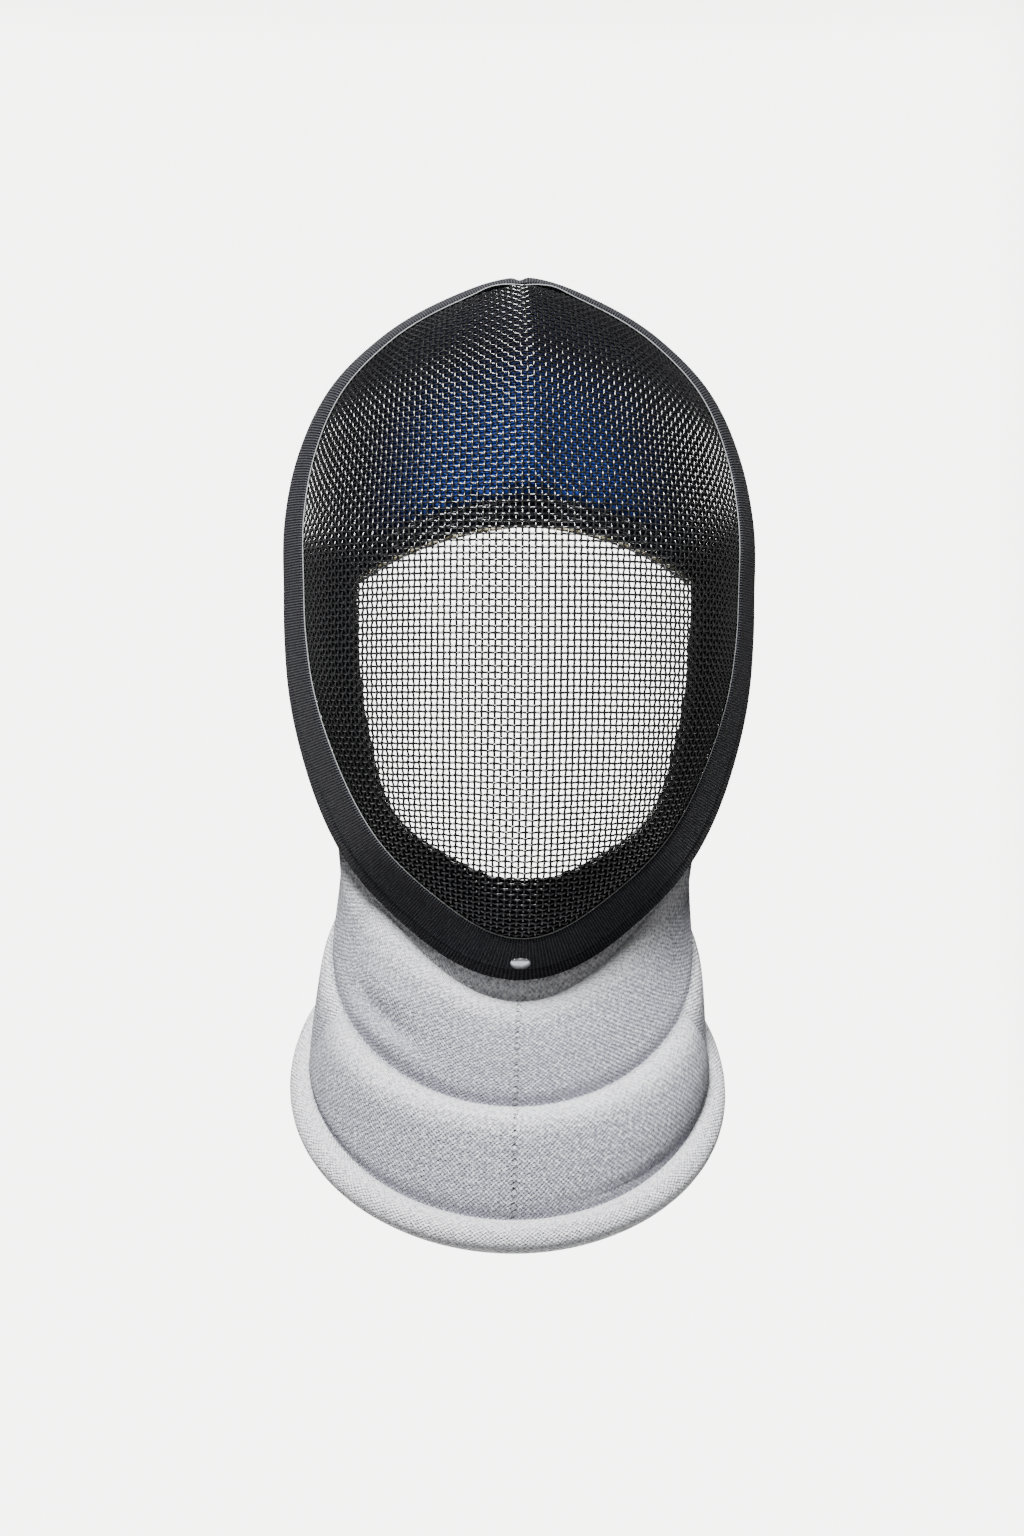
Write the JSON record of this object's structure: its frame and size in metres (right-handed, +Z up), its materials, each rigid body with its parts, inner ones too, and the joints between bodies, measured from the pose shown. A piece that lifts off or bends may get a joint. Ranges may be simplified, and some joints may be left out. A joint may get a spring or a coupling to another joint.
{
  "type": "fencing mask",
  "caption": "Domed fencing mask of black steel mesh in a webbing trim, with a padded blue and black liner, a sprung tongue behind the head and a quilted white throat bib.",
  "frame": {"origin": "seat of the wearer's crown, on the underside of the head pad", "axes": "+Z up, the face guard looks along -Y, +X to the right of someone who looks at its front"},
  "size_m": [0.236, 0.2012, 0.4739],
  "materials": {
    "steel_mesh": "black painted woven steel wire, glints on the crossings",
    "webbing": "ribbed charcoal webbing",
    "rivet": "bright domed stud",
    "liner_blue": "brushed royal blue padding",
    "liner_black": "matt black padding",
    "bib_cloth": "white waffle-woven padded cloth"
  },
  "bodies": {
    "root": {"face_mesh": "steel_mesh", "edge_trim": "webbing", "chin_rivet": "rivet", "head_pad": "liner_blue", "pad_binding": "liner_black", "side_pad_left": "liner_black", "side_pad_right": "liner_black", "chin_pad": "liner_black", "back_tongue": "liner_black", "bib_collar": "bib_cloth", "bib_front": "bib_cloth", "bib_wing_left": "bib_cloth", "bib_wing_right": "bib_cloth", "bib_hem": "bib_cloth"}
  },
  "joints": []
}
